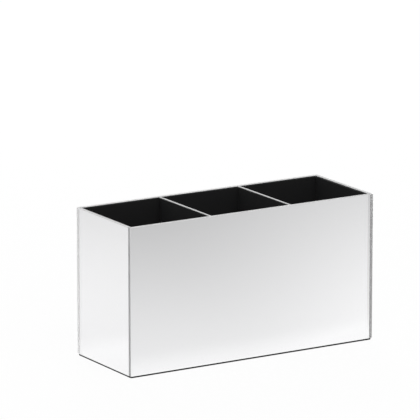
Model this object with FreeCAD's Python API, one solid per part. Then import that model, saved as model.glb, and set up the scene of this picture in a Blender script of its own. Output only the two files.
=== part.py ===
import FreeCAD, Part
import os

# A makeup brush holder: an open box of mirrored glass, lined in black, with three compartments in a row.
# Millimetres. The origin is the middle of the resting face, +X to the right, +Y to the back, +Z up.

# Outside sizes
width = 220.0  # over the faces of the end panes
depth = 81.0  # over the faces of the front and back panes
height = 117.5  # from the resting face to the rim

# Glass
wall_glass = 2.7  # thickness of the four mirror panes
divider_glass = 1.8  # thickness of the two dividers
divider_drop = 0.5  # from the rim down to a divider's top edge
arris = 0.3  # chamfer ground along the glass edges that show
bond_line = 0.1  # cured adhesive between glass and glass, or glass and board

# Base
felt_thickness = 1.4  # sheet that the box stands on
felt_inset = 0.6  # from the panes' faces in to the felt's edge
felt_corner = 1.0  # radius of the felt's corners
board_thickness = 3.0  # board between the panes, on the felt

# Lining
lining_thickness = 1.0  # flocked card
lining_reveal = 0.3  # bare glass from a divider's top edge down to the card

bays = ("left", "middle", "right")
dividers = ("left", "right")
walls = ("front", "right", "back", "left")  # round the box, so that each butts on the next
corners = ("front_left", "front_right", "back_right", "back_left")  # where each wall starts
quarter_turn = 90.0

# Levels that the pieces share
glass_foot = felt_thickness
board_top = felt_thickness + board_thickness
divider_foot = board_top + bond_line
divider_top = height - divider_drop
lining_top = divider_top - lining_reveal

# Faces that the pieces share
outer_x = width / 2
outer_y = depth / 2
inner_x = outer_x - wall_glass  # inside faces of the end panes
inner_y = outer_y - wall_glass  # inside faces of the front and back panes
board_x = inner_x - bond_line
board_y = inner_y - bond_line
divider_y = inner_y - bond_line  # ends of the dividers
bay_width = (2 * inner_x - len(dividers) * divider_glass) / len(bays)


def plate(low, high):
    """A flat plate between two opposite corners."""
    corner = FreeCAD.Vector(*low)
    size = FreeCAD.Vector(*high) - corner
    return Part.makeBox(size.x, size.y, size.z, corner)


def ground(blank, shows):
    """A glass plate with an arris along the edges that show. Shows judges an edge by its middle."""
    return blank.makeChamfer(arris, [edge for edge in blank.Edges if shows(edge.CenterOfMass)])


def wall_length(number):
    """From the corner that a pane covers to the bond at its other end."""
    side = depth if number % 2 else width
    return side - wall_glass - bond_line


def set_up(shape, number):
    """Takes a shape that is drawn along +X from a corner of the box to the corner where a wall starts."""
    corner_x = outer_x if "right" in corners[number] else -outer_x
    corner_y = outer_y if "back" in corners[number] else -outer_y
    turn = FreeCAD.Rotation(FreeCAD.Vector(0, 0, 1), number * quarter_turn)
    shape.Placement = FreeCAD.Placement(FreeCAD.Vector(corner_x, corner_y, 0), turn)
    return shape


def bay_span(number):
    """The left and right limits of a compartment, between glass and glass."""
    left = -inner_x + number * (bay_width + divider_glass)
    return left, left + bay_width


def divider_span(number):
    """The left and right faces of the divider to the right of a compartment."""
    left = bay_span(number)[1]
    return left, left + divider_glass


def mirror_pane(length):
    """A mirror pane along +X, outer face to the front, from the corner that it covers.

    The rim and the upright edge at that corner have an arris. Edges that are bonded or on the felt have none.
    """
    def shows(middle):
        on_rim = middle.z > height - arris and middle.x < length - arris
        at_corner = middle.x < arris and middle.y < arris
        return on_rim or at_corner

    return ground(plate((0, 0, glass_foot), (length, wall_glass, height)), shows)


def mirrors():
    """Four panes in a pinwheel: each covers the end of the one before, and butts on the one after."""
    pieces = {}
    for number, wall in enumerate(walls):
        pieces[wall + "_mirror"] = set_up(mirror_pane(wall_length(number)), number)
    return pieces


def divider_panes():
    """Dividers that stand on the board, from the front pane to the back pane, with an arris along the top."""
    def shows(middle):
        return middle.z > divider_top - arris and abs(middle.y) < arris

    pieces = {}
    for number, side in enumerate(dividers):
        left, right = divider_span(number)
        blank = plate((left, -divider_y, divider_foot), (right, divider_y, divider_top))
        pieces[side + "_divider"] = ground(blank, shows)
    return pieces


def base():
    """The board lies between the panes, and the felt under both."""
    board = plate((-board_x, -board_y, glass_foot), (board_x, board_y, board_top))
    felt_x = outer_x - felt_inset
    felt_y = outer_y - felt_inset
    sheet = plate((-felt_x, -felt_y, 0), (felt_x, felt_y, felt_thickness))
    upright = [edge for edge in sheet.Edges if edge.BoundBox.ZLength > felt_thickness / 2]
    return {"base_board": board, "base_felt": sheet.makeFillet(felt_corner, upright)}


def corner_bonds():
    """An adhesive strip at each upright corner, between the end of a pane and the inside of the next."""
    pieces = {}
    for number in range(len(walls)):
        length = wall_length(number)
        strip = plate((length, 0, glass_foot), (length + bond_line, wall_glass, height - arris))
        reached = corners[(number + 1) % len(corners)]
        pieces[reached + "_bond"] = set_up(strip, number)
    return pieces


def divider_bonds():
    """Adhesive strips at the two ends and the foot of each divider."""
    high_z = divider_top - arris
    pieces = {}
    for number, side in enumerate(dividers):
        left, right = divider_span(number)
        name = side + "_divider_"
        pieces[name + "front_bond"] = plate((left, -inner_y, divider_foot), (right, -divider_y, high_z))
        pieces[name + "back_bond"] = plate((left, divider_y, divider_foot), (right, inner_y, high_z))
        pieces[name + "foot_bond"] = plate((left, -divider_y, board_top), (right, divider_y, divider_foot))
    return pieces


def base_bonds():
    """Adhesive strips between the board's four edges and the panes."""
    return {
        "base_front_bond": plate((-board_x, -inner_y, glass_foot), (board_x, -board_y, board_top)),
        "base_back_bond": plate((-board_x, board_y, glass_foot), (board_x, inner_y, board_top)),
        "base_left_bond": plate((-inner_x, -board_y, glass_foot), (-board_x, board_y, board_top)),
        "base_right_bond": plate((board_x, -board_y, glass_foot), (inner_x, board_y, board_top)),
    }


def linings():
    """Five cards to a compartment: front and back, two sides between them, and the floor between all four."""
    card_y = inner_y - lining_thickness
    floor_top = board_top + lining_thickness
    pieces = {}
    for number, bay in enumerate(bays):
        left, right = bay_span(number)
        card_left = left + lining_thickness
        card_right = right - lining_thickness
        cards = {
            "front": ((left, -inner_y, board_top), (right, -card_y, lining_top)),
            "back": ((left, card_y, board_top), (right, inner_y, lining_top)),
            "left": ((left, -card_y, board_top), (card_left, card_y, lining_top)),
            "right": ((card_right, -card_y, board_top), (right, card_y, lining_top)),
            "floor": ((card_left, -card_y, board_top), (card_right, card_y, floor_top)),
        }
        for face, limits in cards.items():
            pieces[bay + "_bay_" + face + "_lining"] = plate(*limits)
    return pieces


def main():
    """Makes every piece and writes each to its own file."""
    os.makedirs("parts", exist_ok=True)
    for group in (mirrors, divider_panes, base, corner_bonds, divider_bonds, base_bonds, linings):
        for name, shape in group().items():
            shape.exportStep("parts/" + name + ".step")
            print(name, round(shape.Volume), "mm3, valid" if shape.isValid() else "mm3, NOT valid")
    print("compartment", bay_width - 2 * lining_thickness, "x", 2 * (inner_y - lining_thickness), "mm clear")


main()
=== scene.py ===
"""A makeup brush holder: mirrored glass panes bonded into an open box, flocked lining, felt under the base.

Metres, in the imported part's own frame: +X to the right, +Y to the back, +Z up.
"""
import math

import bmesh
import bpy
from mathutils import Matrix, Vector, noise


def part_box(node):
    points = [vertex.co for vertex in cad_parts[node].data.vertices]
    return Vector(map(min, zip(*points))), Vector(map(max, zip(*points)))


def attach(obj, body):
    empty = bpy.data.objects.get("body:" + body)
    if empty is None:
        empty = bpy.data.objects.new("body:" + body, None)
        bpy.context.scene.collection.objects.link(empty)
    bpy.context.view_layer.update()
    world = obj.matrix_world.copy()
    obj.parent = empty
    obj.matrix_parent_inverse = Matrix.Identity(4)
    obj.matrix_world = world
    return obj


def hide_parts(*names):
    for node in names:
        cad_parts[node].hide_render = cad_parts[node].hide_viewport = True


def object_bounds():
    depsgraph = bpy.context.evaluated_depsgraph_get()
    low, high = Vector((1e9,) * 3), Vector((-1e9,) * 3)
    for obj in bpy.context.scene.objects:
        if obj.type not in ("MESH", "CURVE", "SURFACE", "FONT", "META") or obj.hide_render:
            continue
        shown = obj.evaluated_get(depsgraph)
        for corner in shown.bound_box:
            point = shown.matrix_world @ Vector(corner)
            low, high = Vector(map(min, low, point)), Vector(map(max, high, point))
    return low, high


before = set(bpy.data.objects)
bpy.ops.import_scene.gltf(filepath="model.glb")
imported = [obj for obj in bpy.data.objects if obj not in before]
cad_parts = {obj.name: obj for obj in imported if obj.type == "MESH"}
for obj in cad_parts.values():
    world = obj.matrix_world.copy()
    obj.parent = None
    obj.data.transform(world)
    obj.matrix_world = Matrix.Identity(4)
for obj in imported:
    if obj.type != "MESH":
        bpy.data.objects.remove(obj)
cad_low, cad_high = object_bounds()

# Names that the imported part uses
BODY = "root"
BAYS = ("left", "middle", "right")
DIVIDERS = ("left", "right")
OUTWARD = {
    "front": Vector((0, -1, 0)),
    "back": Vector((0, 1, 0)),
    "left": Vector((-1, 0, 0)),
    "right": Vector((1, 0, 0)),
}
STARTS = {"front": "left", "right": "front", "back": "right", "left": "back"}  # the corner each pane covers

# Directions and how they are judged
UP = Vector((0, 0, 1))
CORNERS = ((1, 1), (-1, 1), (-1, -1), (1, -1))  # signs of X and Y, round from the back right
QUARTER_TURN = math.radians(90)
ALONG = 0.99  # a face looks along a direction when its normal's share in it is over this
BESIDE = 0.5  # an edge's middle is on one side of a box when its place between the sides is over this

# Shapes
ARRIS = 0.0003  # ground chamfer along the panes' edges
SEAT_GAP = 0.00003  # hair of air between two pieces that lie face to face
BOND_GAP = 0.00001  # the same between a bond strip and what it bonds
BOND_ROUND = 0.00002  # softened edges of a bond strip
CARD_ROUND = 0.00035  # soft edge that the pile gives a card
CARD_STEP = 0.003  # spacing of the mesh that carries the card's unevenness
CARD_DIP = 0.00012  # deepest hollow in a card's face
CARD_DIP_SIZE = 0.022  # breadth of those hollows
FELT_ROUND = 0.0002  # soft edge of the felt
FELT_CORNER = 0.001  # radius of the felt's corners
CORNER_STEPS = 6  # straight pieces to a corner of the felt
CHAMFER_STEPS = 1
ROUND_STEPS = 3
ROUND_PROFILE = 0.5  # a bevel with this profile is part of a circle

# Looks. A grain is waves to the metre and octaves, a relief is a bump's strength and depth, and tones and
# roughnesses are the two ends that a grain moves between.
USUAL_NOISE = (0.3, 0.7)  # the span that a noise keeps to for the most part
WHITE = (1, 1, 1, 1)

GLASS_IOR = 1.52
GLASS = {"Base Color": (0.99, 0.99, 0.993, 1), "Transmission Weight": 1.0, "IOR": GLASS_IOR}
GLASS_GRAIN = (35, 4)
GLASS_ROUGHNESS = (0.0, 0.012)

FILM = {"Base Color": (0.97, 0.97, 0.975, 1), "Metallic": 1.0}
FILM_GRAIN = (20, 3)
FILM_ROUGHNESS = (0.008, 0.022)

GROUND_EDGES = {  # the share that passes as through clear glass, and the darkest and lightest grey
    "rim": (0.4, 0.76, 0.92),
    "end": (0.74, 0.80, 0.93),
    "arris": (0.1, 0.78, 0.90),
    "divider_edge": (0.1, 0.82, 0.96),
}
GROUND_TONE_GRAIN = (900, 3)
GROUND_GRAIN = (2500, 2)
GROUND_ROUGHNESS = (0.65, 0.85)
GROUND_VEIL_SHARE = 0.25  # how much of a ground edge scatters the light that passes it
SCRATCH_GRAIN = (2200, 2)
SCRATCH_RELIEF = (0.25, 0.00004)

ADHESIVE = {"Base Color": (0.94, 0.94, 0.93, 1), "Transmission Weight": 1.0, "IOR": 1.49}
ADHESIVE_GRAIN = (800, 2)
ADHESIVE_ROUGHNESS = (0.08, 0.3)

FLOCK = {
    "Specular IOR Level": 0.15,
    "Sheen Weight": 0.12,
    "Sheen Roughness": 0.45,
    "Sheen Tint": (0.55, 0.55, 0.56, 1),
}
FLOCK_TONES = ((0.007, 0.007, 0.0073, 1), (0.015, 0.015, 0.0154, 1))
FLOCK_PATCH_GRAIN = (60, 3)
FLOCK_ROUGHNESS = (0.86, 1.0)
FLOCK_PILE_GRAIN = (4200, 3)
FLOCK_RELIEF = (0.7, 0.00012)

FELT = {
    "Specular IOR Level": 0.15,
    "Sheen Weight": 0.15,
    "Sheen Roughness": 0.5,
    "Sheen Tint": (0.6, 0.6, 0.62, 1),
}
FELT_TONES = ((0.012, 0.012, 0.013, 1), (0.04, 0.04, 0.042, 1))
FELT_GRAIN = (1800, 5)
FELT_ROUGHNESS = (0.85, 1.0)
FELT_RELIEF = (0.8, 0.0003)

BOARD = {"Specular IOR Level": 0.3}
BOARD_TONES = ((0.23, 0.145, 0.085, 1), (0.50, 0.36, 0.23, 1))
BOARD_GRAIN = (1500, 6)
BOARD_ROUGHNESS = (0.65, 0.85)
BOARD_RELIEF = (0.4, 0.0001)

# The order in which a pane has its looks
MIRROR_LOOKS = ("glass", "film", "rim", "end", "arris")
DIVIDER_LOOKS = ("glass", "divider_edge")

# Camera, as the photograph was taken
CAMERA_AZIMUTH = math.radians(-31.819)
CAMERA_ELEVATION = math.radians(14.064)
CAMERA_DISTANCE = 3.2916
CAMERA_LENS = 363.08  # in millimetres, as the sensor is
CAMERA_SENSOR = 36.0
CAMERA_REACH = 100.0
AIM_RIGHT = -0.01235  # from the holder's centre to the middle of the frame
AIM_UP = 0.0498

# Floor. Its levels are the light painted into it that polished faces see, where 1 is white.
FLOOR_SIDE = 12.0
FLOOR_DROP = 0.0002
FLOOR_COLOUR = (0.95, 0.95, 0.95, 1)
FLOOR_SHADOW_SHARE = 0.05  # how much of the floor that the camera sees is lit by the lamps, and shaded
POOL_CENTRE = (-0.063, 0.218, 0.0)  # middle of a pool of light painted on the floor
POOL_LEVEL = 0.953
POOL_RADIUS = 0.789
POOL_FALL = -0.821  # power of the pool's fall-off
STREAK_AXIS = (0.929, 0.369, 0.0)  # across a painted streak of more light in the pool, as if lit from the right
STREAK_START = -0.036  # along that axis, where the streak begins
STREAK_BREADTH = 0.317  # from there to its full level
STREAK_GAIN = 0.5  # what it adds, as a share of the pool's level
STREAK_RIDGE = 0.25  # past here the streak fades again
STREAK_RIDGE_ROUND = 0.1
BAND_MIDDLE = -0.006  # from front to back, middle of a band of painted light on the floor that the holder stands in
BAND_CORE = 0.04  # half breadth of the band's full part
BAND_REACH = 0.1  # half breadth to where it has faded out
BAND_GAIN = 0.085
FOLD_SLOPE = 0.62  # how far to the left the next two lines lie, for each step to the back
FOLD_START = -0.085  # to the right of this line, the painted light on the floor behind comes to match that on the floor in front
FOLD_END = 0.165  # to the right of this line it matches fully
FOLD_OVER = -2.0  # a distance to the back, plus this many times itself, is the same distance to the front

# Light
FILL = 0.5  # the world's strength on the object
LAMPS = {  # place, side and power in watts
    "key_lamp": ((-0.2, -1.2, 1.4), 1.4, 14.0),
    "side_lamp": ((0.7, 1.5, 0.9), 0.9, 14.0),
}


def feed(tree, socket, value):
    """Gives a socket a value, or the output of another node."""
    if isinstance(value, bpy.types.NodeSocket):
        tree.links.new(value, socket)
    else:
        socket.default_value = value


def add(tree, kind, inputs=None, **settings):
    """A shader node with its settings and its inputs, which are values or other nodes' outputs."""
    made = tree.nodes.new(kind)
    for key, value in settings.items():
        setattr(made, key, value)
    for key, value in (inputs or {}).items():
        feed(tree, made.inputs[key], value)
    return made


def maths(tree, operation, *values):
    """The output of a Math node."""
    return add(tree, "ShaderNodeMath", dict(enumerate(values)), operation=operation).outputs["Value"]


def vector_maths(tree, operation, *vectors):
    """The number that a Vector Math node gives."""
    return add(tree, "ShaderNodeVectorMath", dict(enumerate(vectors)), operation=operation).outputs["Value"]


def span(tree, value, start, stop, low, high, kind="LINEAR"):
    """Maps the span from start to stop to the span from low to high, and holds it at both ends."""
    limits = {"Value": value, "From Min": start, "From Max": stop, "To Min": low, "To Max": high}
    return add(tree, "ShaderNodeMapRange", limits, interpolation_type=kind).outputs["Result"]


def grain(tree, scale, detail):
    """A noise from 0 to 1 that stays with the object. Scale is in waves per metre."""
    place = add(tree, "ShaderNodeTexCoord").outputs["Object"]
    return add(tree, "ShaderNodeTexNoise", {"Vector": place, "Scale": scale, "Detail": detail}).outputs["Fac"]


def spread(tree, value, low, high):
    """Maps a noise's usual span to the span from low to high."""
    return span(tree, value, *USUAL_NOISE, low, high)


def by_identifier(sockets, identifier):
    """The one socket with an identifier, where several share a name."""
    return next(socket for socket in sockets if socket.identifier == identifier)


def blend_colour(tree, share, first, second):
    """A colour between two others."""
    made = add(tree, "ShaderNodeMix", {"Factor": share}, data_type="RGBA")
    feed(tree, by_identifier(made.inputs, "A_Color"), first)
    feed(tree, by_identifier(made.inputs, "B_Color"), second)
    return by_identifier(made.outputs, "Result_Color")


def blend_shaders(tree, share, first, second):
    """The first shader, with a share of the second."""
    inputs = dict(enumerate((share, first, second)))
    return add(tree, "ShaderNodeMixShader", inputs).outputs["Shader"]


def bump(tree, height, strength, distance):
    """A normal bent by a height in metres."""
    made = add(tree, "ShaderNodeBump", {"Height": height, "Strength": strength, "Distance": distance})
    return made.outputs["Normal"]


def new_material(name):
    """An empty node material, its tree and the socket of its surface."""
    material = bpy.data.materials.new(name)
    material.use_nodes = True
    tree = material.node_tree
    tree.nodes.clear()
    return material, tree, add(tree, "ShaderNodeOutputMaterial").inputs["Surface"]


def surface(name, inputs):
    """A material with one Principled shader, its tree and that shader."""
    material, tree, shown = new_material(name)
    shader = add(tree, "ShaderNodeBsdfPrincipled", inputs)
    feed(tree, shown, shader.outputs["BSDF"])
    return material, tree, shader


def clouded(name, inputs, cloud_grain, roughness):
    """A smooth material whose roughness varies in soft clouds."""
    material, tree, shader = surface(name, inputs)
    feed(tree, shader.inputs["Roughness"], spread(tree, grain(tree, *cloud_grain), *roughness))
    return material


def matted(name, inputs, tones, patch_grain, roughness, pile_grain, relief):
    """A dull material. Its tone and roughness follow the patches, and its relief follows the pile."""
    material, tree, shader = surface(name, inputs)
    patches = grain(tree, *patch_grain)
    feed(tree, shader.inputs["Base Color"], blend_colour(tree, patches, *tones))
    feed(tree, shader.inputs["Roughness"], spread(tree, patches, *roughness))
    feed(tree, shader.inputs["Normal"], bump(tree, grain(tree, *pile_grain), *relief))
    return material


def clear_glass():
    """Polished float glass with the faint haze that handling leaves."""
    return clouded("clear_glass", GLASS, GLASS_GRAIN, GLASS_ROUGHNESS)


def silvering():
    """The bright metal film on a mirror's inner face."""
    return clouded("silvering", FILM, FILM_GRAIN, FILM_ROUGHNESS)


def adhesive():
    """Cured clear adhesive with a slight haze."""
    return clouded("adhesive", ADHESIVE, ADHESIVE_GRAIN, ADHESIVE_ROUGHNESS)


def ground_edge(kind):
    """Glass ground on a belt: satin, part clear and part veiled, with fine scratches."""
    clear_share, dark, light = GROUND_EDGES[kind]
    material, tree, shown = new_material("ground_" + kind)
    tones = ((dark, dark, dark, 1), (light, light, light, 1))
    tone = blend_colour(tree, grain(tree, *GROUND_TONE_GRAIN), *tones)
    scratched = bump(tree, grain(tree, *SCRATCH_GRAIN), *SCRATCH_RELIEF)
    glass = add(tree, "ShaderNodeBsdfPrincipled", {
        "Base Color": tone,
        "Roughness": spread(tree, grain(tree, *GROUND_GRAIN), *GROUND_ROUGHNESS),
        "Normal": scratched,
        "Transmission Weight": clear_share,
        "IOR": GLASS_IOR,
    }).outputs["BSDF"]
    veil = add(tree, "ShaderNodeBsdfTranslucent", {"Color": tone, "Normal": scratched}).outputs["BSDF"]
    feed(tree, shown, blend_shaders(tree, GROUND_VEIL_SHARE, glass, veil))
    return material


def flock():
    """Short black pile: nearly black face on, with a soft sheen and brushed patches."""
    return matted(
        "flock", FLOCK, FLOCK_TONES, FLOCK_PATCH_GRAIN, FLOCK_ROUGHNESS, FLOCK_PILE_GRAIN, FLOCK_RELIEF)


def felt():
    """Pressed black felt, with matted fibres."""
    return matted("felt", FELT, FELT_TONES, FELT_GRAIN, FELT_ROUGHNESS, FELT_GRAIN, FELT_RELIEF)


def fibreboard():
    """Sanded fibreboard: brown, speckled with pale fibre."""
    return matted("fibreboard", BOARD, BOARD_TONES, BOARD_GRAIN, BOARD_ROUGHNESS, BOARD_GRAIN, BOARD_RELIEF)


def cut_back(shape, edges, offset, segments):
    """Bevels some edges of a bmesh."""
    bmesh.ops.bevel(
        shape, geom=edges, offset=offset, offset_type="OFFSET", segments=segments, profile=ROUND_PROFILE,
        affect="EDGES")


def every_edge(middle):
    """Picks all edges of a box."""
    return True


def bevelled_box(low, high, offset, segments, picks=every_edge):
    """A box with edges cut back. Picks judges an edge by its middle, in halves of the box's size."""
    made = bmesh.new()
    corners = bmesh.ops.create_cube(made, size=2.0)["verts"]  # from -1 to 1 each way
    picked = [edge for edge in made.edges if picks((edge.verts[0].co + edge.verts[1].co) / 2)]
    middle = (low + high) / 2
    half = (high - low) / 2
    for corner in corners:
        corner.co = Vector(sign * reach for sign, reach in zip(corner.co, half)) + middle
    cut_back(made, picked, offset, segments)
    bmesh.ops.recalc_face_normals(made, faces=made.faces[:])
    return made


def clear_box(node, gap):
    """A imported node's lowest and highest corners, drawn in by a gap all round."""
    low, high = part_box(node)
    hair = Vector((gap, gap, gap))
    return low + hair, high - hair


def shade_smooth(shape):
    """Lets the light run on from face to face."""
    for face in shape.faces:
        face.smooth = True


def finish_piece(name, shape, node, materials):
    """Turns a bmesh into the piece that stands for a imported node."""
    mesh = bpy.data.meshes.new(name)
    shape.to_mesh(mesh)
    shape.free()
    for material in materials:
        mesh.materials.append(material)
    piece = bpy.data.objects.new(name, mesh)
    bpy.context.scene.collection.objects.link(piece)
    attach(piece, BODY)
    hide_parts(node)


def make_mirror(wall, looks):
    """A mirror pane: silvered inner face, ground rim, and a ground end at the corner that it covers.

    The rim and the upright edge at that corner have an arris. The end that is bonded is cut square and clear.
    """
    outward = OUTWARD[wall]
    start = OUTWARD[STARTS[wall]]

    def shows(middle):
        on_rim = middle.z > BESIDE and middle.dot(start) > -BESIDE
        at_corner = middle.dot(start) > BESIDE and middle.dot(outward) > BESIDE
        return on_rim or at_corner

    def look(normal):
        if max(abs(share) for share in normal) < ALONG:
            return "arris"
        if normal.dot(outward) < -ALONG:
            return "film"
        if normal.z > ALONG:
            return "rim"
        if normal.dot(start) > ALONG:
            return "end"
        return "glass"

    node = wall + "_mirror"
    shape = bevelled_box(*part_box(node), ARRIS, CHAMFER_STEPS, shows)
    for face in shape.faces:
        face.material_index = MIRROR_LOOKS.index(look(face.normal))
    finish_piece(node + "_pane", shape, node, [looks[name] for name in MIRROR_LOOKS])


def make_divider(side, looks):
    """A divider: clear faces that the lining covers, ground edges."""
    def shows(middle):
        return middle.z > BESIDE and abs(middle.y) < BESIDE

    node = side + "_divider"
    shape = bevelled_box(*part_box(node), ARRIS, CHAMFER_STEPS, shows)
    for face in shape.faces:
        look = "glass" if abs(face.normal.x) > ALONG else "divider_edge"
        face.material_index = DIVIDER_LOOKS.index(look)
    finish_piece(node + "_pane", shape, node, [looks[name] for name in DIVIDER_LOOKS])


def make_card(node, inward, pile):
    """A flocked card: soft edges, and a face that is not quite flat. Inward points into the compartment."""
    shape = bevelled_box(*clear_box(node, SEAT_GAP), CARD_ROUND, ROUND_STEPS)
    low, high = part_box(node)
    size = high - low
    for axis in range(3):
        if inward[axis]:
            continue
        steps = int(size[axis] / CARD_STEP)
        across = Vector((0, 0, 0))
        across[axis] = 1
        for step in range(1, steps):
            cut = low + across * size[axis] * step / steps
            geometry = shape.verts[:] + shape.edges[:] + shape.faces[:]
            bmesh.ops.bisect_plane(shape, geom=geometry, plane_co=cut, plane_no=across)
    front = max(vert.co.dot(inward) for vert in shape.verts)
    for vert in shape.verts:
        if front - vert.co.dot(inward) < SEAT_GAP:
            hollow = (noise.noise(vert.co / CARD_DIP_SIZE) + 1) / 2
            vert.co -= inward * CARD_DIP * hollow
    shade_smooth(shape)
    finish_piece(node + "_card", shape, node, (pile,))


def make_felt(cloth):
    """The felt sheet, with rounded corners and a soft edge."""
    low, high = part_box("base_felt")
    top = high.z - SEAT_GAP
    shape = bmesh.new()
    ring = []
    for number, (sign_x, sign_y) in enumerate(CORNERS):
        centre_x = sign_x * (high.x - FELT_CORNER)
        centre_y = sign_y * (high.y - FELT_CORNER)
        for step in range(CORNER_STEPS + 1):
            angle = QUARTER_TURN * (number + step / CORNER_STEPS)
            ring.append((centre_x + FELT_CORNER * math.cos(angle), centre_y + FELT_CORNER * math.sin(angle)))
    under = [shape.verts.new((x, y, low.z)) for x, y in ring]
    over = [shape.verts.new((x, y, top)) for x, y in ring]
    shape.faces.new(over)
    shape.faces.new(under[::-1])
    for here in range(len(ring)):
        there = (here + 1) % len(ring)
        shape.faces.new((under[here], under[there], over[there], over[here]))
    rims = [edge for edge in shape.edges if abs(edge.verts[0].co.z - edge.verts[1].co.z) < SEAT_GAP]
    cut_back(shape, rims, FELT_ROUND, ROUND_STEPS)
    shade_smooth(shape)
    finish_piece("base_felt_sheet", shape, "base_felt", (cloth,))


def make_bond(node, cured):
    """A bond strip, a hair clear of the glass on both sides."""
    shape = bevelled_box(*clear_box(node, BOND_GAP), BOND_ROUND, CHAMFER_STEPS)
    finish_piece(node + "_strip", shape, node, (cured,))


def dress_part():
    """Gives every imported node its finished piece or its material."""
    looks = {"glass": clear_glass(), "film": silvering()}
    for kind in GROUND_EDGES:
        looks[kind] = ground_edge(kind)
    pile = flock()
    cured = adhesive()
    for wall in OUTWARD:
        make_mirror(wall, looks)
    for side in DIVIDERS:
        make_divider(side, looks)
    for bay in BAYS:
        for wall, outward in OUTWARD.items():
            make_card(bay + "_bay_" + wall + "_lining", -outward, pile)
        make_card(bay + "_bay_floor_lining", UP, pile)
    make_felt(felt())
    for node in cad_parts:
        if node.endswith("_bond"):
            make_bond(node, cured)
    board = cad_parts["base_board"]
    board.data.materials.clear()
    board.data.materials.append(fibreboard())


def make_camera():
    """The camera at the photograph's viewing angle."""
    centre = (cad_low + cad_high) / 2
    flat = math.cos(CAMERA_ELEVATION)
    back = Vector((
        math.sin(CAMERA_AZIMUTH) * flat, -math.cos(CAMERA_AZIMUTH) * flat, math.sin(CAMERA_ELEVATION)))
    towards = (-back).to_track_quat("-Z", "Y")
    aim = centre + towards @ Vector((AIM_RIGHT, AIM_UP, 0))
    data = bpy.data.cameras.new("camera")
    data.lens = CAMERA_LENS
    data.sensor_width = CAMERA_SENSOR
    data.clip_end = CAMERA_REACH
    camera = bpy.data.objects.new("camera", data)
    camera.location = centre + back * CAMERA_DISTANCE
    camera.rotation_mode = "QUATERNION"
    camera.rotation_quaternion = (aim - camera.location).to_track_quat("-Z", "Y")
    bpy.context.scene.collection.objects.link(camera)
    bpy.context.scene.camera = camera


def sees_background(tree, path):
    """1 for rays that see the background: the camera's own, and those that gloss or glass sends on."""
    sent_on = maths(tree, "MAXIMUM", path["Is Glossy Ray"], path["Is Transmission Ray"])
    return maths(tree, "MAXIMUM", path["Is Camera Ray"], sent_on)


def folded_place(tree, axes):
    """The place where the painted pool and streak of light are read.

    For floor that is behind the holder and to the right, it is the mirrored place in front.
    """
    behind = maths(tree, "MAXIMUM", axes["Y"], 0.0)
    aside = maths(tree, "MULTIPLY_ADD", behind, FOLD_SLOPE, axes["X"])
    folded = span(tree, aside, FOLD_START, FOLD_END, 0.0, FOLD_OVER, "SMOOTHSTEP")
    forward = maths(tree, "MULTIPLY_ADD", behind, folded, axes["Y"])
    return add(tree, "ShaderNodeCombineXYZ", {"X": axes["X"], "Y": forward}).outputs["Vector"]


def pool_fall(tree, place):
    """How the painted pool of light falls off from its middle, from 1."""
    away = vector_maths(tree, "DISTANCE", place, POOL_CENTRE)
    slope = maths(tree, "DIVIDE", away, POOL_RADIUS)
    return maths(tree, "POWER", maths(tree, "MULTIPLY_ADD", slope, slope, 1.0), POOL_FALL)


def streak_level(tree, place):
    """The painted pool's level, which rises across the painted streak up to its ridge and falls again."""
    across = vector_maths(tree, "DOT_PRODUCT", place, STREAK_AXIS)
    beyond = maths(tree, "SUBTRACT", 2 * STREAK_RIDGE, across)
    climb = maths(tree, "SMOOTH_MIN", across, beyond, STREAK_RIDGE_ROUND)
    stop = STREAK_START + STREAK_BREADTH
    return span(tree, climb, STREAK_START, stop, POOL_LEVEL, POOL_LEVEL * (1 + STREAK_GAIN), "SMOOTHSTEP")


def band_level(tree, axes):
    """What the painted band of light along the holder adds."""
    off_band = maths(tree, "ABSOLUTE", maths(tree, "SUBTRACT", axes["Y"], BAND_MIDDLE))
    return span(tree, off_band, BAND_CORE, BAND_REACH, BAND_GAIN, 0.0, "SMOOTHSTEP")


def painted_floor_light(tree):
    """The light painted on the floor that polished faces see: a pool of light with a streak, and a band along
    the holder.

    Only to the left does the painted light behind the holder differ from that in front of it.
    """
    position = add(tree, "ShaderNodeNewGeometry").outputs["Position"]
    axes = add(tree, "ShaderNodeSeparateXYZ", {"Vector": position}).outputs
    place = folded_place(tree, axes)
    # painted light: a pool and streak of light painted on the floor as a glow level
    pool = maths(tree, "MULTIPLY", streak_level(tree, place), pool_fall(tree, place))
    return maths(tree, "MINIMUM", maths(tree, "ADD", pool, band_level(tree, axes)), 1.0)


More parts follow.
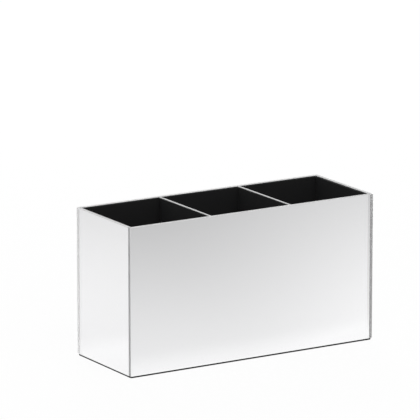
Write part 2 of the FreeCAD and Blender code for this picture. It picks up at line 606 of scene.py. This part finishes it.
def floor_material():
    """A pale floor. The camera sees it white, and polished faces see the light painted into its glow."""
    material, tree, shown = new_material("floor")
    path = add(tree, "ShaderNodeLightPath").outputs
    direct = path["Is Camera Ray"]
    # polished faces see painted light here: the floor glows with a painted pool of light, though it is no
    # lamp
    level = add(tree, "ShaderNodeMix", {"Factor": direct, "A": painted_floor_light(tree), "B": 1.0}).outputs["Result"]
    glow = add(tree, "ShaderNodeEmission", {"Color": WHITE, "Strength": level}).outputs["Emission"]
    lit = add(tree, "ShaderNodeBsdfDiffuse", {"Color": FLOOR_COLOUR}).outputs["BSDF"]
    shaded = maths(tree, "MULTIPLY", direct, FLOOR_SHADOW_SHARE)
    share = maths(tree, "SUBTRACT", sees_background(tree, path), shaded)
    feed(tree, shown, blend_shaders(tree, share, lit, glow))
    return material


def make_floor():
    """The floor, a hair under the felt."""
    half = FLOOR_SIDE / 2
    corners = [(x * half, y * half, -FLOOR_DROP) for x, y in CORNERS]
    mesh = bpy.data.meshes.new("floor")
    mesh.from_pydata(corners, [], [range(len(corners))])
    mesh.materials.append(floor_material())
    floor = bpy.data.objects.new("floor", mesh)
    bpy.context.scene.collection.objects.link(floor)


def make_world():
    """White for rays that see the background, and a softer fill on the object."""
    world = bpy.data.worlds.new("studio")
    bpy.context.scene.world = world
    world.use_nodes = True
    tree = world.node_tree
    tree.nodes.clear()
    path = add(tree, "ShaderNodeLightPath").outputs
    strength = span(tree, sees_background(tree, path), 0.0, 1.0, FILL, 1.0)
    back = add(tree, "ShaderNodeBackground", {"Color": WHITE, "Strength": strength})
    add(tree, "ShaderNodeOutputWorld", {"Surface": back.outputs["Background"]})


def make_lamp(name, place, side, power):
    """A square soft lamp that points at the holder."""
    data = bpy.data.lights.new(name, "AREA")
    data.size = side
    data.energy = power
    lamp = bpy.data.objects.new(name, data)
    lamp.location = place
    lamp.rotation_mode = "QUATERNION"
    lamp.rotation_quaternion = (-Vector(place)).to_track_quat("-Z", "Y")
    lamp.visible_camera = False
    bpy.context.scene.collection.objects.link(lamp)


dress_part()
make_camera()
make_floor()
make_world()
for lamp_name, lamp_values in LAMPS.items():
    make_lamp(lamp_name, *lamp_values)
bpy.context.scene.view_settings.view_transform = "Standard"
